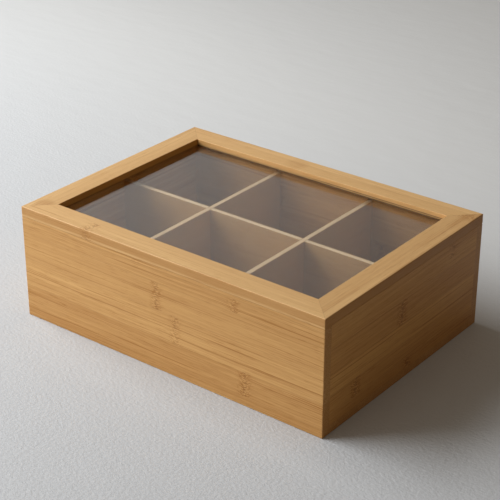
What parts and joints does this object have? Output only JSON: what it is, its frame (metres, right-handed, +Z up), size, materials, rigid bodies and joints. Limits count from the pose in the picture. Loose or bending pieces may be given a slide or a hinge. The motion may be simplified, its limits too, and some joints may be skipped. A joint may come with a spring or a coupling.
{
  "type": "tea bag organizer box",
  "caption": "Flat rectangular bamboo box with halved dividers inside and a hinged mitred lid that frames a clear window, for keeping tea bags.",
  "frame": {"origin": "middle of the underside, where the box rests", "axes": "+X to the right along the front, -Y towards the front, the hinges at +Y, +Z up"},
  "size_m": [0.29, 0.2106, 0.096],
  "materials": {
    "bamboo": "satin lacquered bamboo boards with visible strips and nodes",
    "divider_bamboo": "paler sanded bamboo board",
    "dowel_wood": "plain beech",
    "acrylic": "clear cast acrylic with a glossy surface",
    "hinge_brass": "polished brass",
    "screw_brass": "brass plated steel"
  },
  "bodies": {
    "box": {"front_board": "bamboo", "back_board": "bamboo", "left_board": "bamboo", "right_board": "bamboo", "base_board": "bamboo", "long_divider": "divider_bamboo", "cross_divider_left": "divider_bamboo", "cross_divider_right": "divider_bamboo", "corner_dowels": "dowel_wood", "base_screws": "screw_brass", "box_hinge_leaf_left": "hinge_brass", "box_hinge_leaf_right": "hinge_brass", "hinge_pin_left": "hinge_brass", "hinge_pin_right": "hinge_brass", "box_hinge_screws": "screw_brass"},
    "lid": {"lid_front_rail": "bamboo", "lid_back_rail": "bamboo", "lid_left_rail": "bamboo", "lid_right_rail": "bamboo", "lid_corner_splines": "dowel_wood", "window_pane": "acrylic", "lid_hinge_leaf_left": "hinge_brass", "lid_hinge_leaf_right": "hinge_brass", "lid_hinge_screws": "screw_brass"}
  },
  "joints": [
    {"name": "lid_hinge", "type": "hinge", "parent": "box", "child": "lid", "pos_m": [0, 0.104, 0.0879], "axis": [-1, 0, 0], "range_deg": [0, 98]}
  ]
}
